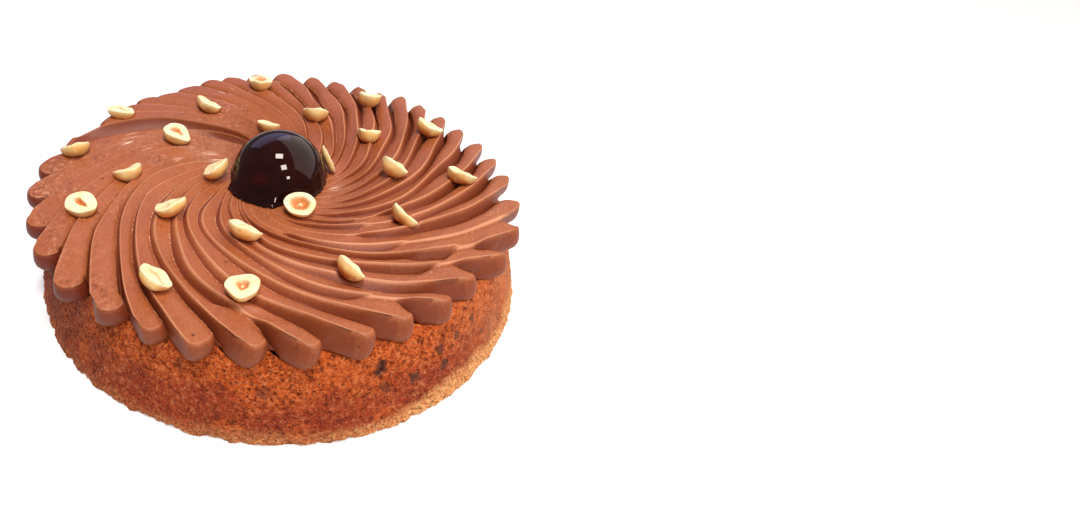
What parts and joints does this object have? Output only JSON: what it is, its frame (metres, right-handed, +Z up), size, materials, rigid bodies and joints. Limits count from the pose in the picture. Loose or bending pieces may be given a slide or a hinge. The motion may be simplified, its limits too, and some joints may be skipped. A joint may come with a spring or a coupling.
{
  "type": "chocolate hazelnut financier cake",
  "caption": "Round almond sponge with sloping sides, topped by a flat swirl of piped milk-chocolate cream, a glossy chocolate dome and scattered hazelnut halves.",
  "frame": {"origin": "centre of the sponge's underside", "axes": "+Z up through the dome; +Y towards the back of the pictured side, +X to its right"},
  "size_m": [0.2157, 0.2155, 0.0547],
  "materials": {
    "sponge": "baked sponge, orange-brown, matt and open-grained",
    "cream": "whipped milk-chocolate cream, soft sheen",
    "glaze": "dark chocolate mirror glaze, very glossy",
    "nut": "peeled roasted hazelnut, cream-yellow, satin"
  },
  "bodies": {
    "root": {"financier_sponge": "sponge", "chocolate_swirl": "cream", "glazed_dome": "glaze", "hazelnut_01": "nut", "hazelnut_02": "nut", "hazelnut_03": "nut", "hazelnut_04": "nut", "hazelnut_05": "nut", "hazelnut_06": "nut", "hazelnut_07": "nut", "hazelnut_08": "nut", "hazelnut_09": "nut", "hazelnut_10": "nut", "hazelnut_11": "nut", "hazelnut_12": "nut", "hazelnut_13": "nut", "hazelnut_14": "nut", "hazelnut_15": "nut", "hazelnut_16": "nut", "hazelnut_17": "nut", "hazelnut_18": "nut", "hazelnut_19": "nut", "hazelnut_20": "nut", "hazelnut_21": "nut", "hazelnut_22": "nut", "hazelnut_23": "nut"}
  },
  "joints": []
}
